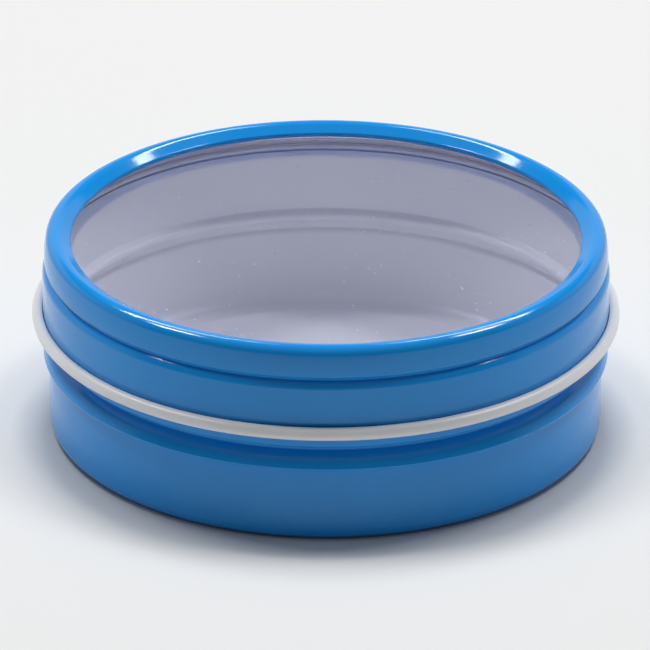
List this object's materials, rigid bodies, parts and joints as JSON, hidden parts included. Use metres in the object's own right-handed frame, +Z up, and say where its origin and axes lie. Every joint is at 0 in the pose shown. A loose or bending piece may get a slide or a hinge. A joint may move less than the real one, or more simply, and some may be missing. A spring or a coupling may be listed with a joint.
{
  "type": "round window lid tin",
  "caption": "Shallow round slip-lid tin: blue lacquered base and lid ring with a white rolled edge, and a clear window held in the lid.",
  "frame": {"origin": "centre of the ring that the tin stands on, on its lowest plane", "axes": "+Z up along the tin's axis, through the lid's window; the tin is round, so X and Y are free"},
  "size_m": [0.0686, 0.0686, 0.0243],
  "materials": {
    "blue_lacquer": "gloss lacquer outside, white lacquer inside",
    "clear_window": "clear, gloss"
  },
  "bodies": {
    "base": {"base_tin": "blue_lacquer"},
    "lid": {"lid_ring": "blue_lacquer", "window_pane": "clear_window"}
  },
  "joints": [
    {"name": "lid_lift", "type": "slide", "parent": "base", "child": "lid", "axis": [0, 0, 1], "range_m": [0, 0.03]}
  ]
}
